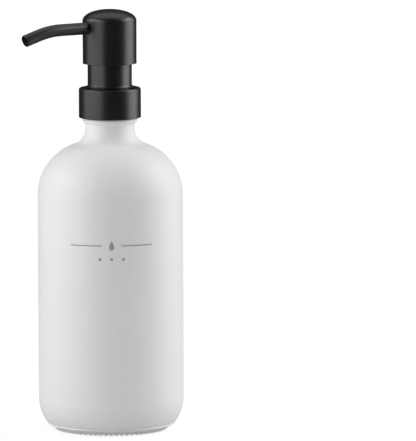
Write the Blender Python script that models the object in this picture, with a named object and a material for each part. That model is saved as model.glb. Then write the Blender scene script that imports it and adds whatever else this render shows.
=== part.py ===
"""Pump dispenser: a round-shouldered bottle with a screw-on lotion pump.

Metres, +Z up.  The bottle axis is the Z axis, the ring the bottle stands on is
z = 0, and the spout points along -X.  Every moving piece turns about or slides
along the bottle axis, so every origin lies on it.
"""
import math

import bmesh
import bpy
from mathutils import Matrix, Vector

MM = 0.001

# --- common -----------------------------------------------------------------
GAP = 0.3                 # clearance left between pieces that touch
MERGE = 0.00005           # metres, welding distance after a turn
SEG_BIG = 40              # facets round the bottle
SEG_MID = 36              # facets round the shells
SEG_SMALL = 24            # facets round the inner pump parts
SEG_TUBE = 16             # facets round the spout and dip tube
SHARP = math.radians(32)
CHAMFER = 0.6             # small edges broken on the moulded inner parts

# --- bottle -----------------------------------------------------------------
BODY_R = 37.5
WALL = 3.0
FLOOR_TOP = 6.0
PUSH_UP = 1.0             # height of the flat centre of the underside
PUSH_UP_R = 21.0
RING_IN_R = 26.6          # bearing ring the bottle stands on
RING_OUT_R = 28.7
RING_H = 1.2
RING_SLOPE = 0.8
RIDGE_R = 32.6            # edge where the underside meets the heel
RIDGE_Z = 3.2
RIDGE_CHAMFER = 0.5
HEEL_R = 19.9
INNER_HEEL_R = 12.0
SHOULDER_R = 27.9
SHOULDER_Z = 121.4
COVE_R = 8.6
NECK_R = 12.75
BEAD_R = 14.2             # transfer bead under the closure
BEAD_Z = (158.5, 159.95, 161.25, 161.6)
FINISH_R = 12.55          # thread root
RIM_Z = 170.6
RIM_EDGE = 0.8
BORE_R = 9.4
BORE_BOTTOM_Z = 152.2

# --- screw thread -----------------------------------------------------------
PITCH = 4.233
THREAD_R = 13.65
THREAD_TURNS = 1.25
THREAD_Z = 163.0          # centre of the bottle ridge where it starts
THREAD_ROOT_HALF = 1.2
THREAD_CREST_HALF = 0.6
THREAD_SINK = 0.3         # how far a ridge is buried in its wall
CAP_THREAD_START = 0.46   # turns after the start of the bottle ridge
CAP_THREAD_TURNS = 1.0
CAP_ROOT_HALF = 1.0
CAP_CREST_HALF = 0.5
THREAD_STEPS = 36         # facets in one turn of thread

# --- closure ----------------------------------------------------------------
COLLAR_R = 16.0
COLLAR_Z0 = 161.7
COLLAR_Z1 = 177.1
COLLAR_EDGE = 2.0
SHELL_WALL = 0.7
SLEEVE_R = 11.4
SLEEVE_WALL = 0.6
SLEEVE_Z1 = 191.7
SLEEVE_FOOT_R = 12.3
SLEEVE_FOOT_H = 1.6       # height and radius of the curve that spreads the sleeve's foot
SLEEVE_FOOT_RIM = 0.2
CAP_SKIRT_R = THREAD_R + GAP
CAP_TOP = (175.0, 176.1)
CAP_CHAMFER = 2.2
CAP_HOLE_R = 9.2
GASKET_Z = (170.9, 171.9)
GASKET_R = (9.8, 12.4)

# --- pump body --------------------------------------------------------------
FLANGE_R = 12.5
HOUSING_FLANGE_Z = (172.2, 173.4)
CUP_R = 8.6
CUP_IN_R = 7.5
CUP_FLOOR_Z = 162.7
CUP_FUNNEL = 1.0          # height of the lead-in from the cup down into the barrel
CUP_TAPER = 1.5
BARREL_R = 6.7
BARREL_IN_R = 5.65
BARREL_FLOOR_Z = 122.2
BARREL_HEEL_Z = 121.2
NIPPLE_R = 4.6
NIPPLE_Z0 = 106.2
NIPPLE_Z1 = 117.7
SOCKET_TOP_Z = 115.0
THROAT_R = 1.6
SEAT_Z = 116.5
BALL_CHAMBER_R = 2.9
VENT_R = 0.6
VENT_Z = 159.7
TUBE_R = 3.1
TUBE_IN_R = 2.3
TUBE_Z0 = 8.5
TUBE_CUT = 5.0            # height of the slanted cut at the foot of the tube
RETAINER_FLANGE_Z = (173.7, 174.7)
RETAINER_FLANGE_R = 12.3
RETAINER_R = 8.6
RETAINER_TOP_Z = 180.7
RETAINER_FOOT_Z = 165.2
RETAINER_FOOT_R = 7.2
SEAL_R = 5.9
SEAL_Z = (176.8, 179.2)
LIP_REACH = 0.9           # how far the wiper's lip stands in from its groove
LIP_TOP = 1.2
CAGE_FLANGE_H = 1.4
CAGE_POST_R = (3.1, 2.9)
CAGE_R = 5.3
CAGE_Z = (122.5, 126.2)
CAGE_BORE_R = 1.5
INLET_BALL_R = 2.2
INLET_BALL_Z = 118.35

# --- moving inner parts -----------------------------------------------------
STEM_R = 3.4
STEM_SLACK = 0.1          # extra clearance where the stem slides through its guide
STEM_CONE = 1.0
STEM_Z = (152.0, 205.2)
STEM_BORE_R = 1.5
STEM_SOCKET_R = 2.3
STEM_SOCKET_Z = 164.2
OUTLET_SEAT_Z = 196.2
SHOULDER_FLANGE_R = 4.6
SHOULDER_FLANGE_Z = (160.0, 161.2)
TIP_FLANGE_R = 4.9
TIP_Z = (150.2, 151.5)
TIP_EDGE = (0.7, 0.5)     # width and height of the cone the piston's foot seals on
TIP_SHANK_R = 2.0
TIP_SHANK_Z1 = 162.2
PISTON_R = BARREL_IN_R - GAP
PISTON_Z = (151.9, 158.5)
PISTON_WAIST_R = 4.6
PISTON_LIP = 0.9          # height of each sealing lip
PISTON_NECK = 1.0         # height over which a lip narrows to the waist
PISTON_FOOT = 0.2
SPRING_Z = (126.5, 149.9)
SPRING_R = 4.1
SPRING_WIRE_R = 0.4
SPRING_TURNS = 7
SPRING_STEPS = 12         # facets in one coil
OUTLET_BALL_R = 1.75
OUTLET_BALL_Z = 198.15

# --- head -------------------------------------------------------------------
HEAD_R = 13.9
HEAD_Z0 = 189.6
HEAD_EDGE_Z = 211.2
HEAD_TOP_Z = 217.5
HEAD_EDGE_R = 3.6
HEAD_CROWN_R = 28.0
HEAD_WALL = 0.8
INSERT_Z0 = 203.2
INSERT_BOSS_Z0 = 193.2
INSERT_BOSS_R = 5.6
CHAMBER_H = 2.6           # roof of the outlet chamber above the spout's axis
CORE_EDGE_R = 2.5
SPOUT_Z = 208.35
SPOUT_R = 3.1
SPOUT_WALL = 0.6
SPOUT_IN_X = -7.0
SPOUT_BEND_X = -36.6
SPOUT_EASE = 6.0          # length of pipe over which the bend is spread, each side of its centre
SPOUT_TIP_X = -52.0
SPOUT_TIP_Z = 203.75
LINER_R = 2.05
LINER_IN_R = 1.5
LINER_IN_X = -4.0
PORT_DEPTH = 4.0          # how far the port's cutter reaches in from the head's side
BORE_END_X = (-8.0, -1.0)
LINER_SHORT = 1.0         # how far the liner stops short of the spout's mouth
CUT_OVER = 2.0            # how far a cutter runs past what it cuts


def clear_scene():
    for obj in list(bpy.data.objects):
        bpy.data.objects.remove(obj, do_unlink=True)


def finish_of(name, colour, roughness, metallic=0.0):
    """A plain surface finish for one piece."""
    mat = bpy.data.materials.new(name + "_finish")
    mat.use_nodes = True
    shader = mat.node_tree.nodes["Principled BSDF"]
    shader.inputs["Base Color"].default_value = (*colour, 1.0)
    shader.inputs["Roughness"].default_value = roughness
    shader.inputs["Metallic"].default_value = metallic
    mat.diffuse_color = (*colour, 1.0)
    return mat


def new_object(name, bm, finish, origin_z, parent=None):
    """Put a mesh drawn in millimetres into the scene with its origin at origin_z on the axis."""
    bmesh.ops.transform(bm, matrix=Matrix.Translation((0, 0, -origin_z)), verts=bm.verts)
    bmesh.ops.scale(bm, vec=(MM, MM, MM), verts=bm.verts)
    bmesh.ops.remove_doubles(bm, verts=bm.verts, dist=MERGE)
    bmesh.ops.recalc_face_normals(bm, faces=bm.faces)
    mesh = bpy.data.meshes.new(name)
    bm.to_mesh(mesh)
    bm.free()
    mesh.shade_smooth()
    mesh.set_sharp_from_angle(angle=SHARP)
    obj = bpy.data.objects.new(name, mesh)
    bpy.context.collection.objects.link(obj)
    obj.location = (0, 0, origin_z * MM)
    if finish:
        mesh.materials.append(finish)
    if parent:
        obj.parent = parent
        obj.location = (0, 0, origin_z * MM - height_of(parent))
    return obj


def height_of(obj):
    z = 0.0
    while obj:
        z += obj.location.z
        obj = obj.parent
    return z


def arc(cx, cz, radius, start, end, count):
    """Points on an arc in the profile plane, angles in degrees from +X."""
    points = []
    for i in range(count + 1):
        a = math.radians(start + (end - start) * i / count)
        points.append((cx + radius * math.cos(a), cz + radius * math.sin(a)))
    return points


def turned(profile, facets, closed=True):
    """Turn a profile of (radius, height) about the Z axis. An open profile starts and ends on the axis."""
    bm = bmesh.new()
    verts = [bm.verts.new((r, 0.0, z)) for r, z in profile]
    edges = [bm.edges.new(pair) for pair in zip(verts, verts[1:])]
    if closed:
        edges.append(bm.edges.new((verts[-1], verts[0])))
    bmesh.ops.spin(
        bm, geom=verts + edges, cent=(0, 0, 0), axis=(0, 0, 1), angle=math.tau, steps=facets, use_merge=True
    )
    bmesh.ops.remove_doubles(bm, verts=bm.verts, dist=MERGE / MM)
    bmesh.ops.recalc_face_normals(bm, faces=bm.faces)
    return bm


def rod(radius, z0, z1, facets):
    return turned([(0, z0), (radius, z0), (radius, z1), (0, z1)], facets, closed=False)


def ball(radius, z, facets):
    return turned(arc(0, z, radius, -90, 90, facets // 2), facets, closed=False)


def coil(section, rise, turns, steps_per_turn):
    """Sweep a closed section drawn at +X round the axis while it rises by rise each turn."""
    bm = bmesh.new()
    face = bm.faces.new([bm.verts.new((r, 0.0, z)) for r, z in section])
    steps = round(turns * steps_per_turn)
    bmesh.ops.spin(
        bm, geom=list(face.verts) + list(face.edges) + [face], cent=(0, 0, 0), axis=(0, 0, 1),
        dvec=(0, 0, rise * turns / steps), angle=math.tau * turns, steps=steps,
    )
    open_edges = [e for e in bm.edges if e.is_boundary]
    if open_edges:
        bmesh.ops.holes_fill(bm, edges=open_edges)
    bmesh.ops.recalc_face_normals(bm, faces=bm.faces)
    return bm


def turn(bm, angle, axis="Z"):
    bmesh.ops.rotate(bm, cent=(0, 0, 0), matrix=Matrix.Rotation(angle, 3, axis), verts=bm.verts)


def helper(name, bm, origin_z, parent):
    """A cutter or an added lump: a hidden mesh that only modifiers use."""
    obj = new_object(name, bm, None, origin_z, parent)
    obj.hide_render = True
    obj.display_type = "WIRE"
    return obj


def combine(obj, other, operation):
    mod = obj.modifiers.new(other.name, "BOOLEAN")
    mod.operation = operation
    mod.solver = "EXACT"
    mod.object = other


def bottle_profile():
    """Closed section of the bottle wall: up the outside from the bearing ring, down the inside."""
    heel_cx = BODY_R - HEEL_R
    heel_dz = math.sqrt(HEEL_R**2 - (RIDGE_R - heel_cx) ** 2)
    heel_cz = RIDGE_Z + heel_dz
    heel_start = -math.degrees(math.asin(heel_dz / HEEL_R))
    shoulder_cx = BODY_R - SHOULDER_R
    cove_cx = NECK_R + COVE_R
    cove_cz = SHOULDER_Z + math.sqrt((SHOULDER_R + COVE_R) ** 2 - (cove_cx - shoulder_cx) ** 2)
    meet = math.degrees(math.atan2(cove_cz - SHOULDER_Z, cove_cx - shoulder_cx))
    outside = [
        (RING_IN_R, 0.0), (RING_OUT_R, 0.0), (RING_OUT_R + RING_SLOPE, RING_H),
        (RIDGE_R - RIDGE_CHAMFER, RIDGE_Z - RIDGE_CHAMFER),
    ]
    outside += arc(heel_cx, heel_cz, HEEL_R, heel_start, 0, 5)
    outside += arc(shoulder_cx, SHOULDER_Z, SHOULDER_R, 0, meet, 8)
    outside += arc(cove_cx, cove_cz, COVE_R, meet + 180, 180, 3)[1:]
    outside += [(NECK_R, BEAD_Z[0]), (BEAD_R, BEAD_Z[1]), (BEAD_R, BEAD_Z[2])]
    outside += [(FINISH_R, BEAD_Z[3]), (FINISH_R, RIM_Z - RIM_EDGE), (FINISH_R - RIM_EDGE, RIM_Z)]
    inside = [(BORE_R + RIM_EDGE, RIM_Z), (BORE_R, RIM_Z - RIM_EDGE), (BORE_R, BORE_BOTTOM_Z)]
    inside += arc(shoulder_cx, SHOULDER_Z, SHOULDER_R - WALL, meet + 6, 0, 6)
    inside += arc(BODY_R - WALL - INNER_HEEL_R, FLOOR_TOP + INNER_HEEL_R, INNER_HEEL_R, 0, -90, 4)
    floor = [(0.0, FLOOR_TOP), (0.0, PUSH_UP), (PUSH_UP_R, PUSH_UP)]
    return outside, inside, floor


def make_bottle():
    outside, inside, floor = bottle_profile()
    profile = [floor[1], floor[2]] + outside + inside + [floor[0]]
    finish = finish_of("glass_bottle", (0.80, 0.80, 0.79), 0.42)
    bottle = new_object("glass_bottle", turned(profile, SEG_BIG, closed=False), finish, 0.0)
    root = FINISH_R - THREAD_SINK
    section = [
        (root, THREAD_Z - THREAD_ROOT_HALF), (THREAD_R, THREAD_Z - THREAD_CREST_HALF),
        (THREAD_R, THREAD_Z + THREAD_CREST_HALF), (root, THREAD_Z + THREAD_ROOT_HALF),
    ]
    ridge = helper("bottle_thread_ridge", coil(section, PITCH, THREAD_TURNS, THREAD_STEPS), 0.0, bottle)
    combine(bottle, ridge, "UNION")
    return bottle


def make_closure(pump):
    inner = COLLAR_R - SHELL_WALL
    profile = [(COLLAR_R, COLLAR_Z0)]
    profile += arc(COLLAR_R - COLLAR_EDGE, COLLAR_Z1 - COLLAR_EDGE, COLLAR_EDGE, 0, 90, 4)
    hole = SLEEVE_R + GAP
    profile += [(hole, COLLAR_Z1), (hole, COLLAR_Z1 - SHELL_WALL)]
    profile += arc(COLLAR_R - COLLAR_EDGE, COLLAR_Z1 - COLLAR_EDGE, COLLAR_EDGE - SHELL_WALL, 90, 0, 3)
    profile += [(inner, COLLAR_Z0)]
    shell = new_object("collar_shell", turned(profile, SEG_MID),
                       finish_of("collar_shell", (0.018, 0.018, 0.019), 0.42, 0.75), COLLAR_Z0, pump)

    bore = SLEEVE_R - SLEEVE_WALL
    foot = COLLAR_Z1 + GAP
    profile = [
        (bore, CAP_TOP[1] + GAP), (SLEEVE_R, CAP_TOP[1] + GAP), (SLEEVE_R, foot), (SLEEVE_FOOT_R, foot),
        (SLEEVE_FOOT_R, foot + SLEEVE_FOOT_RIM),
    ]
    profile += arc(SLEEVE_R + SLEEVE_FOOT_H, foot + SLEEVE_FOOT_H, SLEEVE_FOOT_H, 232, 180, 3)
    profile += [(SLEEVE_R, SLEEVE_Z1), (bore, SLEEVE_Z1)]
    new_object("neck_sleeve", turned(profile, SEG_MID),
               finish_of("neck_sleeve", (0.018, 0.018, 0.019), 0.40, 0.75), foot, shell)

    outer = inner - GAP
    profile = [
        (CAP_SKIRT_R, COLLAR_Z0 + GAP), (outer, COLLAR_Z0 + GAP), (outer, CAP_TOP[1] - CAP_CHAMFER),
        (outer - CAP_CHAMFER, CAP_TOP[1]), (CAP_HOLE_R, CAP_TOP[1]), (CAP_HOLE_R, CAP_TOP[0]),
        (CAP_SKIRT_R, CAP_TOP[0]),
    ]
    cap = new_object("threaded_cap", turned(profile, SEG_MID),
                     finish_of("threaded_cap", (0.045, 0.045, 0.048), 0.5), COLLAR_Z0, shell)
    wall = CAP_SKIRT_R + THREAD_SINK
    crest = FINISH_R + GAP
    z = THREAD_Z - PITCH / 2 + CAP_THREAD_START * PITCH
    section = [
        (wall, z + CAP_ROOT_HALF), (crest, z + CAP_CREST_HALF),
        (crest, z - CAP_CREST_HALF), (wall, z - CAP_ROOT_HALF),
    ]
    ridge = coil(section, PITCH, CAP_THREAD_TURNS, THREAD_STEPS)
    turn(ridge, math.tau * CAP_THREAD_START)
    combine(cap, helper("cap_thread_ridge", ridge, COLLAR_Z0, cap), "UNION")
    return shell


def make_pump_body(gasket):
    profile = [
        (FLANGE_R, HOUSING_FLANGE_Z[1]), (CUP_IN_R, HOUSING_FLANGE_Z[1]),
        (CUP_IN_R, CUP_FLOOR_Z + CUP_FUNNEL), (BARREL_IN_R, CUP_FLOOR_Z), (BARREL_IN_R, BARREL_FLOOR_Z),
        (BALL_CHAMBER_R, BARREL_FLOOR_Z), (BALL_CHAMBER_R, SEAT_Z + BALL_CHAMBER_R - THROAT_R),
        (THROAT_R, SEAT_Z), (THROAT_R, SOCKET_TOP_Z),
        (TUBE_R + GAP, SOCKET_TOP_Z), (TUBE_R + GAP, NIPPLE_Z0), (NIPPLE_R, NIPPLE_Z0),
        (NIPPLE_R, NIPPLE_Z1), (BARREL_R, BARREL_HEEL_Z), (BARREL_R, CUP_FLOOR_Z - CUP_TAPER),
        (CUP_R, CUP_FLOOR_Z), (CUP_R, HOUSING_FLANGE_Z[0]), (FLANGE_R, HOUSING_FLANGE_Z[0]),
    ]
    housing = new_object("pump_housing", turned(profile, SEG_SMALL),
                         finish_of("pump_housing", (0.78, 0.79, 0.80), 0.35), HOUSING_FLANGE_Z[0], gasket)
    hole = rod(VENT_R, 0.0, BARREL_R + CUT_OVER, 12)
    turn(hole, math.pi / 2, "X")
    bmesh.ops.translate(hole, vec=(0, 0, VENT_Z), verts=hole.verts)
    combine(housing, helper("vent_cutter", hole, VENT_Z, housing), "DIFFERENCE")

    bore = STEM_R + GAP + STEM_SLACK
    seal_top = SEAL_Z[1] + GAP
    profile = [
        (RETAINER_FLANGE_R, RETAINER_FLANGE_Z[0]), (RETAINER_FLANGE_R, RETAINER_FLANGE_Z[1]),
        (RETAINER_R, RETAINER_FLANGE_Z[1]), (RETAINER_R, RETAINER_TOP_Z - CHAMFER),
        (RETAINER_R - CHAMFER, RETAINER_TOP_Z),
        (bore, RETAINER_TOP_Z), (bore, seal_top), (SEAL_R + GAP, seal_top), (SEAL_R + GAP, SEAL_Z[0] - GAP),
        (bore, SEAL_Z[0] - GAP), (bore, RETAINER_FOOT_Z), (RETAINER_FOOT_R, RETAINER_FOOT_Z),
        (RETAINER_FOOT_R, RETAINER_FLANGE_Z[0]),
    ]
    new_object("retainer_ring", turned(profile, SEG_SMALL),
               finish_of("retainer_ring", (0.72, 0.73, 0.74), 0.4), RETAINER_FLANGE_Z[0], housing)

    lip = STEM_R + GAP
    mid = (SEAL_Z[0] + SEAL_Z[1]) / 2
    profile = [
        (SEAL_R, SEAL_Z[0]), (SEAL_R, SEAL_Z[1]), (lip + LIP_TOP, SEAL_Z[1]), (lip + LIP_REACH, mid + GAP),
        (lip, mid), (lip + LIP_REACH, SEAL_Z[0]),
    ]
    new_object("stem_wiper", turned(profile, SEG_SMALL),
               finish_of("stem_wiper", (0.30, 0.30, 0.31), 0.6), SEAL_Z[0], housing)

    profile = [
        (CAGE_R, CAGE_Z[0]), (CAGE_R, CAGE_Z[0] + CAGE_FLANGE_H), (CAGE_POST_R[0], CAGE_Z[0] + CAGE_FLANGE_H),
        (CAGE_POST_R[1], CAGE_Z[1]), (CAGE_BORE_R, CAGE_Z[1]), (CAGE_BORE_R, CAGE_Z[0]),
    ]
    new_object("ball_cage", turned(profile, SEG_SMALL),
               finish_of("ball_cage", (0.70, 0.71, 0.72), 0.4), CAGE_Z[0], housing)

    top = SOCKET_TOP_Z - GAP
    tube = turned([(TUBE_R, TUBE_Z0), (TUBE_R, top), (TUBE_IN_R, top), (TUBE_IN_R, TUBE_Z0)], SEG_TUBE)
    slope = Vector((-TUBE_CUT, 0, 2 * TUBE_R)).normalized()
    cut = bmesh.ops.bisect_plane(
        tube, geom=tube.verts[:] + tube.edges[:] + tube.faces[:], plane_co=(-TUBE_R, 0, TUBE_Z0),
        plane_no=slope, clear_inner=True,
    )
    rim = [e for e in cut["geom_cut"] if isinstance(e, bmesh.types.BMEdge)]
    bmesh.ops.bridge_loops(tube, edges=rim)
    new_object("dip_tube", tube, finish_of("dip_tube", (0.80, 0.81, 0.82), 0.3), SOCKET_TOP_Z, housing)

    new_object("inlet_ball", ball(INLET_BALL_R, INLET_BALL_Z, 12),
               finish_of("inlet_ball", (0.62, 0.62, 0.62), 0.12, 1.0), INLET_BALL_Z, housing)
    return housing


def make_piston_group(housing):
    spring_low = SPRING_Z[0] + SPRING_WIRE_R
    rise = (SPRING_Z[1] - SPRING_Z[0] - 2 * SPRING_WIRE_R) / SPRING_TURNS
    section = arc(SPRING_R, spring_low, SPRING_WIRE_R, 0, 300, 5)
    spring = new_object("return_spring", coil(section, rise, SPRING_TURNS, SPRING_STEPS),
                        finish_of("return_spring", (0.60, 0.60, 0.60), 0.25, 1.0), SPRING_Z[0], housing)

    profile = [
        (STEM_R, STEM_Z[0]), (STEM_R, SHOULDER_FLANGE_Z[0]), (SHOULDER_FLANGE_R, SHOULDER_FLANGE_Z[0]),
        (SHOULDER_FLANGE_R, SHOULDER_FLANGE_Z[1]), (STEM_R, SHOULDER_FLANGE_Z[1] + STEM_CONE),
        (STEM_R, STEM_Z[1]),
        (STEM_SOCKET_R, STEM_Z[1]), (STEM_SOCKET_R, OUTLET_SEAT_Z + STEM_SOCKET_R - STEM_BORE_R),
        (STEM_BORE_R, OUTLET_SEAT_Z), (STEM_BORE_R, STEM_SOCKET_Z), (STEM_SOCKET_R, STEM_SOCKET_Z - CHAMFER),
        (STEM_SOCKET_R, STEM_Z[0]),
    ]
    stem = new_object("piston_stem", turned(profile, SEG_SMALL),
                      finish_of("piston_stem", (0.74, 0.75, 0.76), 0.35), STEM_Z[1], spring)

    profile = [
        (0, TIP_Z[0]), (TIP_FLANGE_R, TIP_Z[0]), (TIP_FLANGE_R, TIP_Z[1] - TIP_EDGE[1]),
        (TIP_FLANGE_R - TIP_EDGE[0], TIP_Z[1]), (TIP_SHANK_R, TIP_Z[1]),
        (TIP_SHANK_R, TIP_SHANK_Z1 - CHAMFER), (TIP_SHANK_R - CHAMFER, TIP_SHANK_Z1), (0, TIP_SHANK_Z1),
    ]
    new_object("stem_plug", turned(profile, SEG_SMALL, closed=False),
               finish_of("stem_plug", (0.66, 0.67, 0.68), 0.4), TIP_Z[0], stem)

    bore = STEM_R + GAP
    z0, z1 = PISTON_Z
    neck = PISTON_LIP + PISTON_NECK
    profile = [
        (bore, z0), (PISTON_WAIST_R, z0), (PISTON_R, z0 + PISTON_FOOT), (PISTON_R, z0 + PISTON_LIP),
        (PISTON_WAIST_R, z0 + neck), (PISTON_WAIST_R, z1 - neck), (PISTON_R, z1 - PISTON_LIP), (PISTON_R, z1),
        (PISTON_WAIST_R, z1), (bore, z1),
    ]
    new_object("piston", turned(profile, SEG_SMALL), finish_of("piston", (0.76, 0.77, 0.78), 0.45), z0, stem)
    new_object("outlet_ball", ball(OUTLET_BALL_R, OUTLET_BALL_Z, 12),
               finish_of("outlet_ball", (0.62, 0.62, 0.62), 0.12, 1.0), OUTLET_BALL_Z, stem)
    return stem


def crown(radius, top_z, edge_z, crown_r, edge_r, count):
    """Domed top of a cylinder: a flat crown arc rounded into the wall. Runs from the wall to the axis."""
    crown_cz = top_z - crown_r
    edge_cx = radius - edge_r
    edge_cz = crown_cz + math.sqrt((crown_r - edge_r) ** 2 - edge_cx**2)
    meet = math.degrees(math.atan2(edge_cz - crown_cz, edge_cx))
    points = [(radius, min(edge_z, edge_cz))]
    points += arc(edge_cx, edge_cz, edge_r, 0, meet, 4)
    points += arc(0, crown_cz, crown_r, meet, 90, count)[1:]
    return points


def make_head(stem):
    outside = crown(HEAD_R, HEAD_TOP_Z, HEAD_EDGE_Z, HEAD_CROWN_R, HEAD_EDGE_R, 4)
    inside = crown(HEAD_R - HEAD_WALL, HEAD_TOP_Z - HEAD_WALL, HEAD_EDGE_Z, HEAD_CROWN_R - HEAD_WALL,
                   HEAD_EDGE_R - HEAD_WALL, 4)
    profile = list(reversed(outside)) + [(HEAD_R, HEAD_Z0), (HEAD_R - HEAD_WALL, HEAD_Z0)] + inside
    shell = new_object("head_shell", turned(profile, SEG_MID, closed=False),
                       finish_of("head_shell", (0.018, 0.018, 0.019), 0.38, 0.75), HEAD_Z0, stem)
    port_r = SPOUT_R + GAP
    start_x = -HEAD_R - CUT_OVER
    port = across_cutter("head_port_cutter", port_r, start_x, PORT_DEPTH - HEAD_R, shell)
    combine(shell, port, "DIFFERENCE")

    core_r = HEAD_R - HEAD_WALL - GAP
    socket = STEM_R + GAP
    top = HEAD_TOP_Z - HEAD_WALL - GAP
    chamber = SPOUT_Z + CHAMBER_H
    roof = crown(core_r, top, HEAD_EDGE_Z, HEAD_CROWN_R - HEAD_WALL - GAP, CORE_EDGE_R, 3)
    profile = [(0, top)] + list(reversed(roof))[1:]
    profile += [
        (core_r, INSERT_Z0), (INSERT_BOSS_R, INSERT_Z0), (INSERT_BOSS_R, INSERT_BOSS_Z0),
        (socket, INSERT_BOSS_Z0), (socket, STEM_Z[1] + GAP), (STEM_SOCKET_R, STEM_Z[1] + GAP),
        (STEM_SOCKET_R, chamber), (0, chamber),
    ]
    core = new_object("head_core", turned(profile, SEG_MID, closed=False),
                      finish_of("head_core", (0.05, 0.05, 0.052), 0.5), INSERT_BOSS_Z0, shell)
    combine(core, across_cutter("core_port_cutter", port_r, start_x, SPOUT_IN_X + GAP, core), "DIFFERENCE")
    combine(core, across_cutter("core_bore_cutter", LINER_R + GAP, *BORE_END_X, core), "DIFFERENCE")
    make_spout(shell)


def across_cutter(name, radius, x0, x1, parent):
    """A round cutter lying along X at the spout's height."""
    bm = rod(radius, x0, x1, SEG_TUBE)
    turn(bm, math.pi / 2, "Y")
    bmesh.ops.translate(bm, vec=(0, 0, SPOUT_Z), verts=bm.verts)
    return helper(name, bm, SPOUT_Z, parent)


def spout_path(start_x, short):
    """The spout's centre line: level out of the head, then drooping to the mouth."""
    drop = Vector((SPOUT_TIP_X, 0, SPOUT_TIP_Z)) - Vector((SPOUT_BEND_X, 0, SPOUT_Z))
    slope = drop.normalized()
    bend = Vector((SPOUT_BEND_X, 0, SPOUT_Z))
    first = bend + Vector((SPOUT_EASE, 0, 0))
    last = bend + slope * SPOUT_EASE
    points = [Vector((start_x, 0, SPOUT_Z)), first]
    for t in (0.2, 0.4, 0.6, 0.8):
        points.append(first * (1 - t) ** 2 + bend * 2 * t * (1 - t) + last * t * t)
    points += [last, Vector((SPOUT_TIP_X, 0, SPOUT_TIP_Z)) - slope * short]
    return points


def pipe(points, radius, inner, facets):
    """A round pipe swept along a centre line in the XZ plane, with a round bore."""
    bm = bmesh.new()
    loops = []
    for r in (radius, inner):
        made = bmesh.ops.create_circle(bm, cap_ends=False, segments=facets, radius=r,
                                       matrix=Matrix.Rotation(math.pi / 2, 4, "Y"))
        loops.append(made["verts"])
    ring = bmesh.ops.bridge_loops(bm, edges=[e for e in bm.edges])["faces"]
    aim = (points[1] - points[0]).normalized()
    bmesh.ops.translate(bm, vec=points[0], verts=bm.verts)
    for i in range(1, len(points)):
        made = bmesh.ops.extrude_face_region(bm, geom=ring)
        verts = [v for v in made["geom"] if isinstance(v, bmesh.types.BMVert)]
        new_ring = [f for f in made["geom"] if isinstance(f, bmesh.types.BMFace)]
        if i > 1:
            bmesh.ops.delete(bm, geom=ring, context="FACES_ONLY")
        ahead = (points[i] - points[i - 1]).normalized()
        after = (points[min(i + 1, len(points) - 1)] - points[i])
        after = after.normalized() if after.length > 0 else ahead
        facing = (ahead + after).normalized()
        turn = aim.rotation_difference(facing).to_matrix()
        bmesh.ops.translate(bm, vec=points[i] - points[i - 1], verts=verts)
        bmesh.ops.rotate(bm, cent=points[i], matrix=turn, verts=verts)
        aim = facing
        ring = new_ring
    bmesh.ops.recalc_face_normals(bm, faces=bm.faces)
    return bm


def make_spout(shell):
    new_object("spout_tube", pipe(spout_path(SPOUT_IN_X, 0.0), SPOUT_R, SPOUT_R - SPOUT_WALL, SEG_TUBE),
               finish_of("spout_tube", (0.018, 0.018, 0.019), 0.38, 0.75), SPOUT_Z, shell)
    new_object("spout_liner", pipe(spout_path(LINER_IN_X, LINER_SHORT), LINER_R, LINER_IN_R, 12),
               finish_of("spout_liner", (0.03, 0.03, 0.032), 0.45), SPOUT_Z, shell)


def make_gasket(bottle):
    z0, z1 = GASKET_Z
    profile = [(GASKET_R[0], z0), (GASKET_R[1], z0), (GASKET_R[1], z1), (GASKET_R[0], z1)]
    return new_object("rim_gasket", turned(profile, SEG_MID),
                      finish_of("rim_gasket", (0.68, 0.68, 0.66), 0.65), z0, bottle)


def build():
    clear_scene()
    bottle = make_bottle()
    gasket = make_gasket(bottle)
    housing = make_pump_body(gasket)
    make_closure(housing)
    stem = make_piston_group(housing)
    make_head(stem)


build()
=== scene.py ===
"""Looks of the soap pump dispenser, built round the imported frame. Lengths in the profiles are millimetres."""
import math

import bmesh
import bpy
from mathutils import Matrix, Quaternion, Vector


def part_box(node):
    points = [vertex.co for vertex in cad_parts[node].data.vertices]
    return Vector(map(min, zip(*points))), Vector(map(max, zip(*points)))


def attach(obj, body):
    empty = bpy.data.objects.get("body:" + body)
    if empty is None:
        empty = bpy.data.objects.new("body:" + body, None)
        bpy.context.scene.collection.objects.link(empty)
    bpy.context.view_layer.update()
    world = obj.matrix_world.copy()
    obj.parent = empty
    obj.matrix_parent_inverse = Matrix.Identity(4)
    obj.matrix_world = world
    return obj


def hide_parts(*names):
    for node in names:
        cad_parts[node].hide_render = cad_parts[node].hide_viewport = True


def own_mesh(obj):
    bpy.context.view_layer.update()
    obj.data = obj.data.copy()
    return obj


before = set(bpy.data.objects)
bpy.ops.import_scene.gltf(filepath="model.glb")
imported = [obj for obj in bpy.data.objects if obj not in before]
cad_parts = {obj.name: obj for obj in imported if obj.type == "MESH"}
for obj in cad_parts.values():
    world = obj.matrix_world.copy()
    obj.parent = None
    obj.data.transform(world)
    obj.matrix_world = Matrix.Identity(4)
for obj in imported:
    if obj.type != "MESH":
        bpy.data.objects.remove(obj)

MM = 0.001
TAU = math.tau
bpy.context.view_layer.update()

CAMERA_AZ = math.radians(-34.0)       # turned about the bottle's axis from the front, -Y
CAMERA_PITCH = math.radians(7.0)      # looking down
CAMERA_ROLL = math.radians(-0.2)
CAMERA_OUT = 4.0                      # metres from the bottle's axis
CAMERA_ASIDE = 0.0503                 # metres to the right, which sets the bottle left of centre
CAMERA_Z = 0.5990                     # metres
CAMERA_LENS = 637.9
FLOOR_R = 0.5                         # metres

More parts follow.
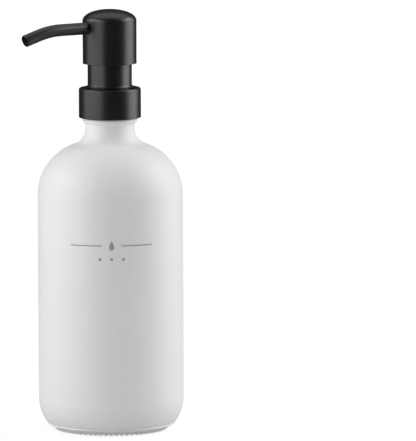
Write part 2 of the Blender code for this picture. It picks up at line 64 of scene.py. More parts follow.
GAP = 0.3                 # clearance between pieces that touch, as in the CAD
GLASS_WALL = 3.0
BOTTLE_FLOOR = 6.0        # top of the glass under the liquid
FINISH_R = 12.55          # root of the bottle's thread
FINISH_Z = 161.75         # foot of the screw finish, just above the bead
MOUTH_R = 9.4             # bore of the bottle's neck
TEETH = 64                # grip teeth under the bottle
PITCH = 4.233             # screw thread
THREAD_Z = 163.0          # middle of the bottle's ridge where it starts
THREAD_DEPTH = 1.1
CAP_START = 0.46          # turns between the starts of the two threads

COLLAR_WALL = 0.7
SLEEVE_R = 11.4
SLEEVE_WALL = 0.6
SLEEVE_FLARE = 1.6        # radius of the flare at the sleeve's foot
HEAD_WALL = 0.8
DOME_RISE = 5.75

SPOUT_WALL = 0.6
BEND_X = -36.6            # where the spout starts to droop
BEND_EASE = 7.0           # straight run on each side of the bend that the curve takes up
TIP = (-51.6, 203.87)     # middle of its mouth
LINER_R = 2.05
LINER_BORE_R = 1.5
LINER_IN_X = -4.0         # where the liner starts inside the head
LINER_SHORT = 1.0         # how far it stops short of the mouth

BARREL_R = 5.65           # bore the piston slides in
DIP_R = 3.1
DIP_BORE_R = 2.3
STEM_R = 3.4
STEM_BORE_R = 2.3


# ---- measures taken from the frame -------------------------------------------------------------
def extent(node):
    """Radius, lowest and highest z of a round CAD node, in mm."""
    low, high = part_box(node)
    return max(high[0], high[1]) / MM, low[2] / MM, high[2] / MM


# ---- shape helpers -----------------------------------------------------------------------------
def arc(cx, cz, radius, start, end, count):
    """Points of an arc about (cx, cz), from the angle start to the angle end in degrees."""
    points = []
    for i in range(count + 1):
        a = math.radians(start + (end - start) * i / count)
        points.append((cx + radius * math.cos(a), cz + radius * math.sin(a)))
    return points


def rounded(points, steps=5):
    """A profile whose corners (r, z, fillet) are eased by their fillet radius."""
    out = []
    n = len(points)
    for i, p in enumerate(points):
        if len(p) < 3:
            out.append(p[:2])
            continue
        here = Vector(p[:2])
        before = Vector(points[i - 1][:2]) - here
        after = Vector(points[(i + 1) % n][:2]) - here
        half = before.angle(after) / 2
        reach = min(p[2] / math.tan(half), before.length * 0.48, after.length * 0.48)
        start = here + before.normalized() * reach
        end = here + after.normalized() * reach
        for k in range(steps + 1):
            t = k / steps
            q = start * (1 - t) ** 2 + here * 2 * t * (1 - t) + end * t * t
            out.append((q.x, q.y))
    return out


def mesh_object(name, bm, sharp=28):
    """An object made from bm, smooth but for edges over sharp degrees."""
    bmesh.ops.recalc_face_normals(bm, faces=bm.faces)
    mesh = bpy.data.meshes.new(name)
    bm.to_mesh(mesh)
    bm.free()
    mesh.shade_smooth()
    mesh.set_sharp_from_angle(angle=math.radians(sharp))
    obj = bpy.data.objects.new(name, mesh)
    bpy.context.collection.objects.link(obj)
    return obj


def lathe(name, profile, seg=128, shape=None, sharp=28):
    """Turn a profile about Z. shape(angle, r, z) may move each point, for threads and teeth."""
    bm = bmesh.new()
    rings = []
    for r, z in profile:
        if r < 1e-4:
            rings.append([bm.verts.new((0, 0, z * MM))])
            continue
        ring = []
        for k in range(seg):
            a = TAU * k / seg
            rr, zz = shape(a, r, z) if shape else (r, z)
            ring.append(bm.verts.new((rr * math.cos(a) * MM, rr * math.sin(a) * MM, zz * MM)))
        rings.append(ring)
    pairs = list(zip(rings, rings[1:]))
    if len(rings[0]) > 1 and len(rings[-1]) > 1:
        pairs.append((rings[-1], rings[0]))
    for one, two in pairs:
        if len(one) == 1 and len(two) == 1:
            continue
        for k in range(seg):
            j = (k + 1) % seg
            if len(one) == 1:
                bm.faces.new((one[0], two[k], two[j]))
            elif len(two) == 1:
                bm.faces.new((one[k], two[0], one[j]))
            else:
                bm.faces.new((one[k], two[k], two[j], one[j]))
    return mesh_object(name, bm, sharp)


def thread_height(a, z, z_start, turns, half_crest, half_root, fade=0.07):
    """0 to 1: how much of the ridge stands at this angle and height."""
    best = 0.0
    u = a / TAU
    for k in range(-1, 4):
        along = u + k
        if along < 0 or along > turns:
            continue
        off = abs(z - (z_start + PITCH * along))
        if off >= half_root:
            continue
        h = min(1.0, (half_root - off) / (half_root - half_crest))
        h = h * h * (3 - 2 * h)
        end = min(1.0, along / fade, (turns - along) / fade)
        best = max(best, h * end)
    return best


def tube(name, points, outer, inner, seg=48, lip=0.15):
    """A pipe with eased lips at its mouth: out along the outside, round the lip, back along the bore."""
    direction = (points[-1] - points[-2]).normalized()
    bm = bmesh.new()
    rings = []

    def ring(at, ahead, radius):
        up = Vector((0, 1, 0)).cross(ahead).normalized()
        loop = []
        for k in range(seg):
            a = TAU * k / seg
            spot = at + Vector((0, math.sin(a) * radius, 0)) + up * math.cos(a) * radius
            loop.append(bm.verts.new(spot * MM))
        rings.append(loop)

    def heading(i):
        return (points[min(i + 1, len(points) - 1)] - points[max(i - 1, 0)]).normalized()

    last = len(points) - 1
    for i in range(last):
        ring(points[i], heading(i), outer)
    end = points[last]
    for t in range(5):
        a = math.radians(90 * t / 4)
        ring(end - direction * lip * (1 - math.sin(a)), direction, outer - lip * (1 - math.cos(a)))
    for t in range(5):
        a = math.radians(90 * t / 4)
        ring(end - direction * lip * (1 - math.cos(a)), direction, inner + lip * (1 - math.sin(a)))
    for i in range(last - 1, -1, -1):
        ring(points[i], heading(i), inner)
    for one, two in zip(rings, rings[1:] + rings[:1]):
        for k in range(seg):
            bm.faces.new((one[k], one[(k + 1) % seg], two[(k + 1) % seg], two[k]))
    return mesh_object(name, bm, 40)


def helix(name, radius, wire, z0, z1, turns, steps=40, sides=14, dead=0.9):
    """A compression spring of wire radius wire: dead turns closed at each end, open coils between them."""
    bm = bmesh.new()
    total = round(turns * steps)
    rings = []
    length = z1 - z0 - 2 * wire
    close = 2 * wire * 1.05

    def height(t):
        if t < dead:
            return close * t
        if t > turns - dead:
            return length - close * (turns - t)
        share = (t - dead) / (turns - 2 * dead)
        return close * dead + share * (length - 2 * close * dead)

    def place(t):
        a = TAU * t
        return Vector((radius * math.cos(a), radius * math.sin(a), z0 + wire + height(t)))

    for i in range(total + 1):
        t = turns * i / total
        p = place(t)
        ahead = (place(min(t + 0.01, turns)) - place(max(t - 0.01, 0))).normalized()
        out = Vector((p.x, p.y, 0)).normalized()
        up = ahead.cross(out).normalized()
        side = up.cross(ahead)
        loop = []
        for k in range(sides):
            a = TAU * k / sides
            loop.append(bm.verts.new((p + (side * math.cos(a) + up * math.sin(a)) * wire) * MM))
        rings.append(loop)
    for one, two in zip(rings, rings[1:]):
        for k in range(sides):
            bm.faces.new((one[k], one[(k + 1) % sides], two[(k + 1) % sides], two[k]))
    bm.faces.new(rings[0])
    bm.faces.new(rings[-1])
    return mesh_object(name, bm, 40)


# ---- materials ---------------------------------------------------------------------------------
def material(name, colour, roughness, metallic=0.0, **sockets):
    """A Principled material and its shader. sockets are input names with _ for a space."""
    mat = bpy.data.materials.new(name)
    mat.use_nodes = True
    shader = mat.node_tree.nodes["Principled BSDF"]
    shader.inputs["Base Color"].default_value = (*colour, 1)
    shader.inputs["Roughness"].default_value = roughness
    shader.inputs["Metallic"].default_value = metallic
    for socket, value in sockets.items():
        shader.inputs[socket.replace("_", " ")].default_value = value
    return mat, shader


def noise(mat, scale, detail=3.0, stretch=None):
    """Noise in the object's own space, stretched along its axes if asked."""
    nodes, links = mat.node_tree.nodes, mat.node_tree.links
    coord = nodes.new("ShaderNodeTexCoord")
    tex = nodes.new("ShaderNodeTexNoise")
    tex.inputs["Scale"].default_value = scale
    tex.inputs["Detail"].default_value = detail
    vector = coord.outputs["Object"]
    if stretch:
        mapping = nodes.new("ShaderNodeMapping")
        mapping.inputs["Scale"].default_value = stretch
        links.new(vector, mapping.inputs["Vector"])
        vector = mapping.outputs["Vector"]
    links.new(vector, tex.inputs["Vector"])
    return tex.outputs["Fac"]


def spread(mat, source, low, high, socket):
    """Feed a socket with source remapped to low..high, a number or a colour."""
    nodes, links = mat.node_tree.nodes, mat.node_tree.links
    ramp = nodes.new("ShaderNodeValToRGB")
    ramp.color_ramp.elements[0].position = 0.3
    ramp.color_ramp.elements[1].position = 0.7
    for element, value in zip(ramp.color_ramp.elements, (low, high)):
        element.color = (*value, 1) if isinstance(value, tuple) else (value, value, value, 1)
    links.new(source, ramp.inputs["Fac"])
    links.new(ramp.outputs["Color"], socket)


def bump(mat, shader, layers):
    """Stack bumps: each layer is (height source, depth in metres)."""
    nodes, links = mat.node_tree.nodes, mat.node_tree.links
    normal = None
    for source, depth in layers:
        node = nodes.new("ShaderNodeBump")
        node.inputs["Distance"].default_value = depth
        node.inputs["Strength"].default_value = 1.0
        links.new(source, node.inputs["Height"])
        if normal:
            links.new(normal, node.inputs["Normal"])
        normal = node.outputs["Normal"]
    links.new(normal, shader.inputs["Normal"])


def coated_glass():
    """Matte white coating, a little uneven, with a fine tooth."""
    mat, shader = material("white_matte_coating", (0.87, 0.87, 0.865), 0.42, Specular_IOR_Level=0.42)
    spread(mat, noise(mat, 30), (0.870, 0.873, 0.868), (0.892, 0.892, 0.885), shader.inputs["Base Color"])
    spread(mat, noise(mat, 420, 4), 0.40, 0.47, shader.inputs["Roughness"])
    bump(mat, shader, [(noise(mat, 3200, 2), 0.000006), (noise(mat, 260, 2), 0.00001)])
    return mat


def powder_black():
    """Satin black coating with the fine grain of powder paint."""
    mat, shader = material("satin_black_coating", (0.004, 0.004, 0.0043), 0.34, Specular_IOR_Level=0.775)
    low, high = (0.0032, 0.0033, 0.0036), (0.0048, 0.0048, 0.0052)
    spread(mat, noise(mat, 90), low, high, shader.inputs["Base Color"])
    spread(mat, noise(mat, 700, 4), 0.31, 0.37, shader.inputs["Roughness"])
    bump(mat, shader, [(noise(mat, 5200, 2), 0.000012), (noise(mat, 1200, 2), 0.000008)])
    return mat


def moulded(name, colour, roughness, **sockets):
    """Moulded plastic, faintly mottled."""
    mat, shader = material(name, colour, roughness, **sockets)
    low = tuple(c * 0.955 for c in colour)
    spread(mat, noise(mat, 160), low, colour, shader.inputs["Base Color"])
    spread(mat, noise(mat, 900, 3), roughness - 0.04, roughness + 0.05, shader.inputs["Roughness"])
    bump(mat, shader, [(noise(mat, 2600, 2), 0.000005)])
    return mat


def steel(name, roughness, stretch=None):
    """Bare stainless steel, its grain drawn out along an axis if stretched."""
    mat, shader = material(name, (0.60, 0.60, 0.59), roughness, 1.0)
    spread(mat, noise(mat, 700, 3, stretch), roughness - 0.04, roughness + 0.08, shader.inputs["Roughness"])
    spread(mat, noise(mat, 200, 2), (0.55, 0.55, 0.545), (0.64, 0.64, 0.63), shader.inputs["Base Color"])
    bump(mat, shader, [(noise(mat, 1800, 2, stretch), 0.000002)])
    return mat


def foam():
    """Closed-cell foam of the seal."""
    mat, shader = material("foam_seal", (0.68, 0.68, 0.65), 0.75)
    spread(mat, noise(mat, 900, 4), (0.60, 0.60, 0.57), (0.72, 0.72, 0.69), shader.inputs["Base Color"])
    bump(mat, shader, [(noise(mat, 2400, 3), 0.00006)])
    return mat


def ink():
    """Grey ink of the printed mark, slightly broken up."""
    mat, shader = material("grey_print_ink", (0.38, 0.38, 0.38), 0.55)
    spread(mat, noise(mat, 2500, 3), (0.34, 0.34, 0.34), (0.40, 0.40, 0.40), shader.inputs["Base Color"])
    return mat


WHITE = coated_glass()
BLACK = powder_black()
BLACK_PLASTIC = moulded("black_moulded_plastic", (0.016, 0.016, 0.017), 0.42)
CLOUDY = {"Subsurface_Weight": 0.25, "Subsurface_Scale": 0.001}
CLOUDIER = {"Subsurface_Weight": 0.3, "Subsurface_Scale": 0.001}
NATURAL = moulded("natural_plastic", (0.74, 0.76, 0.77), 0.34, **CLOUDY)
SOFT_NATURAL = moulded("soft_natural_plastic", (0.78, 0.79, 0.79), 0.45, **CLOUDY)
TUBE_PLASTIC = moulded("tube_plastic", (0.78, 0.80, 0.82), 0.28, **CLOUDIER)
RUBBER = moulded("grey_elastomer", (0.20, 0.20, 0.21), 0.6)
STEEL = steel("polished_steel", 0.12)
WIRE = steel("drawn_wire", 0.24, (1, 1, 6))
FOAM = foam()
INK = ink()


def piece(obj, body, node, mat):
    """Finish a piece: material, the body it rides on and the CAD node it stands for."""
    obj.data.materials.clear()
    obj.data.materials.append(mat)
    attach(obj, body)
    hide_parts(node)


# ---- bottle ------------------------------------------------------------------------------------
def underside():
    """Push-up, the narrow ring the bottle stands on, and the ledge that meets the heel."""
    points = [(0, 1.0), (10, 1.0), (20.0, 1.0)]
    points += rounded([(20.0, 1.0), (22.5, 0.95, 2.0), (25.9, 0.4, 0.6), (26.7, 0.06)])[1:]
    points += [(26.9, 0.0), (27.4, 0.0), (27.9, 0.0), (28.3, 0.0)]
    slope = [(28.3, 0.0), (28.75, 0.12, 0.3), (29.35, 1.15, 0.6), (31.7, 2.25, 0.6), (32.25, 2.62)]
    points += rounded(slope)[1:]
    ledge = [(32.25, 2.62), (32.95, 2.95, 0.2), (32.98, 3.15, 0.15), (32.58, 3.72, 0.25), (33.42, 4.2)]
    return points + rounded(ledge, 5)[1:-1]


def neck(rim):
    """Neck, transfer bead, and the screw finish in rows close enough to carry its thread."""
    bead = [(14.15, 159.85, 0.5), (14.2, 161.3, 0.2), (FINISH_R + 0.02, 161.6, 0.1)]
    points = rounded([(12.75, 156.5), (12.75, 158.3, 0.5), *bead, (FINISH_R, FINISH_Z)])[1:]
    rows = 44
    top = rim - 0.9
    points += [(FINISH_R, FINISH_Z + (top - FINISH_Z) * i / rows) for i in range(1, rows + 1)]
    lip = [(FINISH_R, top), (FINISH_R, rim, 0.7), (MOUTH_R, rim, 0.8), (MOUTH_R, rim - 2.0)]
    return points + rounded(lip, 7)[1:]


def bottle():
    """The hollow bottle in one turned profile: underside, heel, wall, shoulder, neck, and back inside."""
    body_r, _, rim = extent("glass_bottle")
    heel_r, ridge_r, ridge_z = 19.9, 32.6, 3.2
    heel_cx = body_r - heel_r
    heel_dz = math.sqrt(heel_r**2 - (ridge_r - heel_cx) ** 2)
    heel_cz = ridge_z + heel_dz
    heel_a = math.degrees(math.asin(heel_dz / heel_r))
    shoulder_r, shoulder_z, cove_r, neck_r = 27.9, 121.4, 8.6, 12.75
    shoulder_cx = body_r - shoulder_r
    cove_cx = neck_r + cove_r
    cove_cz = shoulder_z + math.sqrt((shoulder_r + cove_r) ** 2 - (cove_cx - shoulder_cx) ** 2)
    meet = math.degrees(math.atan2(cove_cz - shoulder_z, cove_cx - shoulder_cx))

    profile = underside()
    profile += arc(heel_cx, heel_cz, heel_r, -heel_a + 3.6, 0, 26)
    profile += [(body_r, z) for z in (30, 50, 70, 90, 110)]
    profile += arc(shoulder_cx, shoulder_z, shoulder_r, 0, meet, 40)
    profile += arc(cove_cx, cove_cz, cove_r, meet + 180, 180, 20)[1:]
    profile += neck(rim)
    profile += [(MOUTH_R, 160.0), (MOUTH_R, 153.6)]
    inner = arc(shoulder_cx, shoulder_z, shoulder_r - GLASS_WALL, meet + 6, 0, 16)
    profile += rounded([(MOUTH_R, 153.6), (MOUTH_R, 151.6, 3.0), inner[0]], 6)[1:-1]
    profile += inner
    inner_heel_r = 12.0
    profile += arc(body_r - GLASS_WALL - inner_heel_r, BOTTLE_FLOOR + inner_heel_r, inner_heel_r, 0, -90, 12)
    profile += [(10.0, BOTTLE_FLOOR), (0, BOTTLE_FLOOR)]

    def shape(a, r, z):
        """Grip teeth round the standing ring, and the thread on the finish."""
        if z < 1.3 and 25.5 < r < 29.6:
            wave = 1.0 - abs(math.cos(TEETH * a / 2))
            lift = 0.8 * wave * min(1.0, (1.3 - z) / 0.9)
            return r - 0.35 * wave * (1 if r > 28.4 else 0), z + lift
        if FINISH_Z - 0.05 < z < rim - 0.85 and abs(r - FINISH_R) < 0.01:
            return r + THREAD_DEPTH * thread_height(a, z, THREAD_Z, 1.25, 0.55, 1.2), z
        return r, z

    piece(lathe("bottle", profile, TEETH * 8, shape, 34), "bottle", "glass_bottle", WHITE)


def wrapped(name, outlines, radius, lift):
    """Thin printed shapes on the bottle's face. outlines are lists of (across, up) in mm, of even length,
    wound one way, and filled by strips between a point and the one as far from the list's other end."""
    bm = bmesh.new()
    base = CAMERA_AZ - math.pi / 2
    for outline in outlines:
        rows = []
        for r in (radius + 0.02, radius + lift):
            row = []
            for x, z in outline:
                a = base + x / radius
                row.append(bm.verts.new((r * math.cos(a) * MM, r * math.sin(a) * MM, z * MM)))
            rows.append(row)
        n = len(outline)
        for k in range(n // 2 - 1):
            corners = (k, k + 1, n - 2 - k, n - 1 - k)
            bm.faces.new([rows[1][c] for c in corners])
            bm.faces.new([rows[0][c] for c in reversed(corners)])
        for k in range(n):
            bm.faces.new((rows[0][k], rows[0][(k + 1) % n], rows[1][(k + 1) % n], rows[1][k]))
    return mesh_object(name, bm)


def strip(x0, x1, z, thick):
    """A thin rule as a closed outline with enough points to follow the curve."""
    n = max(2, int(abs(x1 - x0) / 0.8))
    lower = [(x0 + (x1 - x0) * i / n, z - thick / 2) for i in range(n + 1)]
    upper = [(x, z + thick / 2) for x, _ in reversed(lower)]
    return lower + upper


def printed_mark():
    """A generic ornament in place of the printed words: a drop between two rules, and three dots under it."""
    body_r = extent("glass_bottle")[0]
    shift, top, low = 1.0, 99.5, 92.5
    near, far, thick = 5.0, 22.0, 0.55
    outlines = [strip(-far + shift, -near + shift, top, thick), strip(near + shift, far + shift, top, thick)]
    drop = []
    for i in range(28):
        t = TAU * i / 28
        drop.append((shift + 1.75 * math.sin(t) * math.sin(t / 2) ** 1.3, top + 0.1 + 2.5 * math.cos(t)))
    outlines.append(drop[::-1])
    dot_r, sides = 0.75, 18
    for x in (-6.0, 0.0, 6.0):
        turns = [TAU * k / sides for k in range(sides)]
        outlines.append([(shift + x + dot_r * math.cos(t), low + dot_r * math.sin(t)) for t in turns])
    obj = wrapped("printed_mark", outlines, body_r, 0.06)
    obj.data.materials.append(INK)
    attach(obj, "bottle")


# ---- closure -----------------------------------------------------------------------------------
def closure():
    """Metal collar shell, the sleeve that stands on it, the plastic closure inside and its seal."""
    r, z0, z1 = extent("collar_shell")
    hole, edge = SLEEVE_R + GAP, 0.35
    profile = rounded([
        (r, z0, 0.25), (r, z1, 2.0), (hole + 1.6, z1, 0.25), (hole + 1.1, z1 - edge, 0.25),
        (hole, z1 - edge, 0.15), (hole, z1 - 0.75), (r - COLLAR_WALL, z1 - 0.75, 1.2),
        (r - COLLAR_WALL, z0, 0.25),
    ], 8)
    piece(lathe("collar_outer", profile, 192), "collar", "collar_shell", BLACK)

    r, z0, z1 = extent("neck_sleeve")
    foot = extent("collar_shell")[2] + GAP
    inside = SLEEVE_R - SLEEVE_WALL
    profile = [(inside, z0), (SLEEVE_R, z0), (SLEEVE_R, foot)]
    profile += [(r - 0.1, foot), (r, foot + 0.1), (r, foot + 0.2)]
    profile += arc(SLEEVE_R + SLEEVE_FLARE, foot + SLEEVE_FLARE, SLEEVE_FLARE, 236, 180, 14)
    top = [(SLEEVE_R, foot + SLEEVE_FLARE), (SLEEVE_R, z1, 0.2), (inside, z1, 0.2), (inside, z0)]
    profile += rounded(top)[1:-1]
    piece(lathe("collar_sleeve", profile, 192), "collar", "neck_sleeve", BLACK)

    r, z0, z1 = extent("threaded_cap")
    wall, hole = 13.95, 9.2
    start = THREAD_Z - PITCH / 2 + CAP_START * PITCH
    profile = [(wall, z0 + 0.3), (wall + 0.2, z0), (r - 0.2, z0), (r, z0 + 0.2), (r, z1 - 2.2)]
    profile += rounded([(r, z1 - 2.2), (r - 0.6, z1 - 0.6, 1.2), (r - 2.2, z1)], 6)[1:]
    profile += rounded([(r - 2.2, z1), (hole, z1, 0.3), (hole, z1 - 1.1, 0.2), (wall - 0.4, z1 - 1.1)], 4)[1:]
    rows = 50
    top = z1 - 1.5
    profile += [(wall, top - (top - z0 - 0.3) * i / rows) for i in range(rows)]

    def shape(a, rr, z):
        """The thread inside the closure."""
        if abs(rr - wall) < 0.01 and z > z0 + 0.35:
            turn = (a - TAU * CAP_START) % TAU
            return rr - THREAD_DEPTH * thread_height(turn, z, start, 1.0, 0.45, 1.0), z
        return rr, z

    piece(lathe("closure_inner", profile, 160, shape), "collar", "threaded_cap", BLACK_PLASTIC)

    r, z0, z1 = extent("rim_gasket")
    hole = 9.8
    profile = rounded([(hole, z0, 0.2), (r, z0, 0.2), (r, z1, 0.2), (hole, z1, 0.2)])
    piece(lathe("seal_ring", profile, 128), "gasket", "rim_gasket", FOAM)


# ---- pump body ---------------------------------------------------------------------------------
def pump_body():
    """Barrel with its retainer and wiper above, and the ball cage, ball and dip tube below."""
    r, z0, z1 = extent("pump_housing")
    flange = z1 - 1.2
    cup_floor, floor = 162.7, 122.2
    profile = rounded([
        (r, z1, 0.3), (7.5, z1, 0.3), (7.5, cup_floor + 1, 0.8),
        (BARREL_R, cup_floor, 0.5), (BARREL_R, floor, 0.3),
        (2.9, floor, 0.2), (2.9, 117.8, 0.2), (1.6, 116.5, 0.2), (1.6, 115.0), (3.4, 115.0), (3.4, z0, 0.3),
        (4.6, z0, 0.3), (4.6, floor - 4.5, 1.2), (6.7, floor - 1, 1.0), (6.7, cup_floor - 1.5, 0.8),
        (8.6, cup_floor, 0.6), (8.6, flange, 0.5), (r, flange, 0.3),
    ], 5)
    housing = lathe("barrel", profile, 128)
    vent_r, vent_z, reach = 0.6, 159.7, 9.0
    cutter = lathe("vent_cut", [(0, 0), (vent_r, 0), (vent_r, reach), (0, reach)], 24)
    cutter.matrix_world = Matrix.Translation((0, 0, vent_z * MM)) @ Matrix.Rotation(math.pi / 2, 4, "X")
    cut(housing, cutter)
    piece(housing, "pump_body", "pump_housing", NATURAL)

    r, z0, z1 = extent("retainer_ring")
    flange, shelf, hole = 173.7, 176.5, 3.8
    profile = rounded([
        (r, flange, 0.2), (r, flange + 1.0, 0.25), (8.6, flange + 1.0, 0.3), (8.6, z1, 0.7), (hole, z1, 0.3),
        (hole, z1 - 1.2), (6.2, z1 - 1.2), (6.2, shelf), (hole, shelf), (hole, z0, 0.3), (7.2, z0, 0.4),
        (7.2, flange, 0.3),
    ])
    piece(lathe("stem_guide", profile, 96), "pump_body", "retainer_ring", NATURAL)

    r, z0, z1 = extent("stem_wiper")
    mid = (z0 + z1) / 2
    profile = rounded([
        (r, z0, 0.2), (r, z1, 0.2), (4.9, z1, 0.3), (4.6, mid + 0.3, 0.2), (3.7, mid, 0.1), (4.6, z0, 0.3),
    ])
    piece(lathe("wiper_ring", profile, 96), "pump_body", "stem_wiper", RUBBER)

    r, z0, z1 = extent("ball_cage")
    step, hole = z0 + 1.4, 1.5
    profile = rounded([
        (r, z0, 0.2), (r, step, 0.3), (3.1, step, 0.3), (2.9, z1, 0.4), (hole, z1, 0.3), (hole, z0, 0.3),
    ])
    piece(lathe("spring_seat", profile, 96), "pump_body", "ball_cage", NATURAL)

    r, z0, z1 = extent("dip_tube")
    rows, short = 20, z1 - 1.0
    outside = [(DIP_R, z0 + (z1 - z0) * i / rows) for i in range(rows)]
    top = [(DIP_R, short), (DIP_R, z1, 0.25), (DIP_BORE_R, z1, 0.2), (DIP_BORE_R, short)]
    profile = outside + rounded(top) + [(DIP_BORE_R, z) for _, z in reversed(outside)]
    cut_height, eased = 5.0, 16.0
    slope = cut_height / (2 * DIP_R)

    def slant(a, rr, z):
        """The slanted cut at the tube's foot, fading out above it."""
        x = rr * math.cos(a)
        return rr, z + max(0.0, (x + DIP_R) * slope) * max(0.0, 1 - (z - z0) / eased)

    piece(lathe("suction_tube", profile, 64, slant), "pump_body", "dip_tube", TUBE_PLASTIC)
    ball("lower_ball", "inlet_ball", "inlet_valve")


def ball(name, node, body):
    """A steel ball the size of its CAD node."""
    low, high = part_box(node)
    radius = (high[2] - low[2]) / 2 / MM
    centre = (high[2] + low[2]) / 2 / MM
    piece(lathe(name, arc(0, centre, radius, -90, 90, 32), 64), body, node, STEEL)


def cut(obj, cutter):
    """Take the cutter's shape out of obj, and remove the cutter."""
    mod = obj.modifiers.new("cut", "BOOLEAN")
    mod.solver = "EXACT"
    mod.operation = "DIFFERENCE"
    mod.object = cutter
    bpy.context.view_layer.update()
    shaped = bpy.data.meshes.new_from_object(obj.evaluated_get(bpy.context.evaluated_depsgraph_get()))
    obj.modifiers.clear()
    obj.data = shaped
    shaped.shade_smooth()
    shaped.set_sharp_from_angle(angle=math.radians(28))
    bpy.data.objects.remove(cutter, do_unlink=True)


# ---- moving inner parts ------------------------------------------------------------------------
def piston_parts():
    """Spring, stem with its foot, piston and upper ball."""
    low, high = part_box("return_spring")
    z0, z1 = low[2] / MM, high[2] / MM
    spring = helix("coil_spring", 4.1, 0.4, z0, z1, 8.8)
    spring.data.materials.append(WIRE)
    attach(spring, "spring")
    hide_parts("return_spring")
    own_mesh(spring)

    r, z0, z1 = extent("piston_stem")
    collar, seat, way_r = 160.0, 196.2, 1.5
    profile = rounded([
        (STEM_R, z0, 0.15), (STEM_R, collar, 0.2), (r, collar, 0.2), (r, collar + 1.2, 0.2),
        (STEM_R, collar + 2.2, 0.4), (STEM_R, z1, 0.3),
        (STEM_BORE_R, z1, 0.2), (STEM_BORE_R, seat + 0.8, 0.2), (way_r, seat, 0.2), (way_r, 164.2, 0.3),
        (STEM_BORE_R, 163.6, 0.3), (STEM_BORE_R, z0, 0.15),
    ])
    piece(lathe("stem", profile, 96), "head", "piston_stem", NATURAL)

    r, z0, z1 = extent("stem_plug")
    pin_r, step = 2.0, z0 + 1.3
    profile = rounded([
        (0, z0), (r, z0, 0.3), (r, z0 + 0.8, 0.2), (r - 0.7, step, 0.3),
        (pin_r, step, 0.3), (pin_r, z1, 0.6), (0, z1),
    ])
    piece(lathe("stem_foot", profile, 96), "head", "stem_plug", NATURAL)

    r, z0, z1 = extent("piston")
    profile = rounded([
        (3.7, z0, 0.2), (4.6, z0, 0.2), (r, z0 + 0.2, 0.15), (r, z0 + 0.9, 0.2), (4.6, z0 + 1.9, 0.6),
        (4.6, z1 - 1.9, 0.6), (r, z1 - 0.9, 0.2), (r, z1, 0.15), (4.6, z1, 0.2), (3.7, z1, 0.2),
    ])
    piece(lathe("piston_seal", profile, 96), "piston_ring", "piston", SOFT_NATURAL)
    ball("upper_ball", "outlet_ball", "outlet_valve")


# ---- head --------------------------------------------------------------------------------------
def dome(radius, top, height, power=2.08, count=22):
    """Points of a flattened dome from its wall to the axis."""
    points = []
    for i in range(count + 1):
        a = math.radians(90 * i / count)
        r = radius * math.cos(a)
        z = height * (1 - (r / radius) ** power) ** 0.5 if r > 1e-6 else height
        points.append((r if i < count else 0.0, top - height + z))
    return points


def head():
    """Domed shell with the spout's port, the spout, its liner and the plastic core."""
    r, z0, z1 = extent("head_shell")
    inner = r - HEAD_WALL
    profile = list(reversed(dome(r, z1, DOME_RISE)))
    rim = [(r, z1 - 6.5), (r - 0.06, z0 + 1.2, 0.6), (r, z0 + 0.7, 0.3), (r, z0, 0.12), (inner, z0, 0.3)]
    profile += rounded([*rim, (inner, z1 - 6.8)], 5)
    profile += dome(inner, z1 - HEAD_WALL, 5.3)
    shell = lathe("head_outer", profile, 192)
    spout_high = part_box("spout_tube")[1]
    spout_r = spout_high[1] / MM
    axis_z = spout_high[2] / MM - spout_r
    cut(shell, level_bore("port_cut", spout_r + 0.12, 9.0, 16.5, axis_z, 64))
    piece(shell, "head", "head_shell", BLACK)

    line = spout_line(axis_z, spout_high[0] / MM)
    spout = tube("spout", line, spout_r, spout_r - SPOUT_WALL, 64, 0.22)
    piece(spout, "head", "spout_tube", BLACK)
    ahead = (line[-1] - line[-2]).normalized()
    line[-1] = line[-1] - ahead * LINER_SHORT
    line[0] = Vector((LINER_IN_X, 0, axis_z))
    liner = tube("spout_lining", line, LINER_R, LINER_BORE_R, 40, 0.12)
    piece(liner, "head", "spout_liner", BLACK_PLASTIC)
    core()


def level_bore(name, radius, near, far, z, seg):
    """A cutter for a hole towards the spout's side, -X, from near to far out at height z."""
    cutter = lathe(name, [(0, near), (radius, near), (radius, far), (0, far)], seg)
    cutter.matrix_world = Matrix.Translation((0, 0, z * MM)) @ Matrix.Rotation(-math.pi / 2, 4, "Y")
    return cutter


def spout_line(axis_z, start_x):
    """Centre line of the spout: level out of the head, easing into its droop."""
    start = Vector((start_x, 0, axis_z))
    tip = Vector((TIP[0], 0, TIP[1]))
    bend = Vector((BEND_X, 0, axis_z))
    slope = (tip - bend).normalized()
    first = bend + Vector((BEND_EASE, 0, 0))
    last = bend + slope * BEND_EASE
    points = [start]
    for i in range(1, 9):
        points.append(start.lerp(first, i / 8))
    for i in range(1, 13):
        t = i / 12
        points.append(first * (1 - t) ** 2 + bend * 2 * t * (1 - t) + last * t * t)
    for i in range(1, 7):
        points.append(last.lerp(tip, i / 6))
    return points


def core():
    """Plastic core: a socket for the stem, a chamber above it, and steps for the spout and its liner."""
    r, z0, z1 = extent("head_core")
    spout_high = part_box("spout_tube")[1]
    spout_r = spout_high[1] / MM
    spout_z = spout_high[2] / MM - spout_r
    base, chamber_top = z0 + 10.0, spout_z + 2.6
    socket_r, socket_top = STEM_R + GAP, extent("piston_stem")[2] + GAP
    profile = list(reversed(dome(r, z1, 5.0)))
    profile += rounded([
        (r, z1 - 5.5), (r, base, 0.4), (5.6, base, 0.8), (5.6, z0, 0.4),
        (socket_r, z0, 0.3), (socket_r, socket_top), (STEM_BORE_R, socket_top),
        (STEM_BORE_R, chamber_top, 0.4), (0, chamber_top),
    ])
    obj = lathe("head_filler", profile, 96)
    cut(obj, level_bore("spout_bore", spout_r + GAP, 6.7, 16.0, spout_z, 48))
    cut(obj, level_bore("liner_bore", LINER_R + GAP, 1.0, 8.0, spout_z, 48))
    piece(obj, "head", "head_core", BLACK_PLASTIC)


bottle()
printed_mark()
closure()
pump_body()
piston_parts()
head()


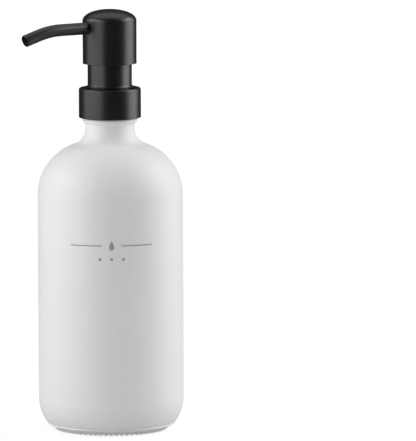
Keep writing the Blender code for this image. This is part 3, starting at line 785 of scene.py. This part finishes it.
# ---- studio ------------------------------------------------------------------------------------
TOWARD = Vector((math.sin(CAMERA_AZ), -math.cos(CAMERA_AZ), 0))
RIGHT = Vector((math.cos(CAMERA_AZ), math.sin(CAMERA_AZ), 0))


def camera():
    """A long lens that looks down a little at the bottle from the photo's side."""
    data = bpy.data.cameras.new("camera")
    data.lens = CAMERA_LENS
    data.clip_end = 60.0
    cam = bpy.data.objects.new("camera", data)
    bpy.context.collection.objects.link(cam)
    cam.location = TOWARD * CAMERA_OUT + RIGHT * CAMERA_ASIDE + Vector((0, 0, CAMERA_Z))
    look = -TOWARD * math.cos(CAMERA_PITCH) - Vector((0, 0, math.sin(CAMERA_PITCH)))
    cam.rotation_euler = (look.to_track_quat("-Z", "Y") @ Quaternion((0, 0, 1), CAMERA_ROLL)).to_euler()
    bpy.context.scene.camera = cam


def panel(name, azimuth, out, height, width, tall, radiance, aim=0.12):
    """A soft light panel at an angle from the camera's side, in degrees, positive to the right."""
    data = bpy.data.lights.new(name, "AREA")
    data.shape = "RECTANGLE"
    data.size = width
    data.size_y = tall
    data.energy = radiance * math.pi * width * tall
    lamp = bpy.data.objects.new(name, data)
    bpy.context.collection.objects.link(lamp)
    a = math.radians(azimuth)
    direction = TOWARD * math.cos(a) + RIGHT * math.sin(a)
    lamp.location = direction * out + Vector((0, 0, height))
    lamp.rotation_euler = (lamp.location - Vector((0, 0, aim))).to_track_quat("Z", "Y").to_euler()
    lamp.visible_camera = False


def by_ray(tree, camera_level, diffuse_level, other_level, socket):
    """Feed a strength that differs for camera rays, diffuse bounces and everything else."""
    ray = tree.nodes.new("ShaderNodeLightPath")
    previous = None
    for output, level in (("Is Camera Ray", camera_level), ("Is Diffuse Ray", diffuse_level)):
        node = tree.nodes.new("ShaderNodeMath")
        node.operation = "MULTIPLY_ADD"
        tree.links.new(ray.outputs[output], node.inputs[0])
        node.inputs[1].default_value = level - other_level
        node.inputs[2].default_value = other_level
        if previous:
            tree.links.new(previous, node.inputs[2])
        previous = node.outputs[0]
    tree.links.new(previous, socket)


def studio():
    """Pale floor, white surroundings and five soft panels."""
    bm = bmesh.new()
    bmesh.ops.create_circle(bm, cap_ends=True, segments=96, radius=FLOOR_R)
    floor = mesh_object("floor", bm)
    mat, shader = material("pale_floor", (0.42, 0.42, 0.42), 0.8)
    shader.inputs["Emission Color"].default_value = (1, 1, 1, 1)
    by_ray(mat.node_tree, 0.68, 0.20, 0.04, shader.inputs["Emission Strength"])
    floor.data.materials.append(mat)

    world = bpy.data.worlds.new("studio")
    bpy.context.scene.world = world
    world.use_nodes = True
    tree = world.node_tree
    back = tree.nodes["Background"]
    back.inputs["Color"].default_value = (1, 1, 1, 1)
    by_ray(tree, 1.05, 0.20, 0.04, back.inputs["Strength"])
    # name, azimuth in degrees, distance out and height in metres, width, tall, radiance
    panel("left_panel", -68, 1.15, 0.38, 2.0, 1.35, 1.32)
    panel("right_panel", 96, 1.15, 0.42, 1.05, 1.4, 2.4)
    panel("left_upper_panel", -72, 1.05, 0.92, 1.5, 0.4, 2.1)
    panel("right_upper_panel", 102, 1.05, 0.92, 0.9, 0.4, 2.3)
    panel("top_panel", 180, 0.5, 1.7, 2.6, 1.7, 0.72)
    bpy.context.scene.view_settings.view_transform = "Standard"


camera()
studio()

bpy.context.view_layer.update()
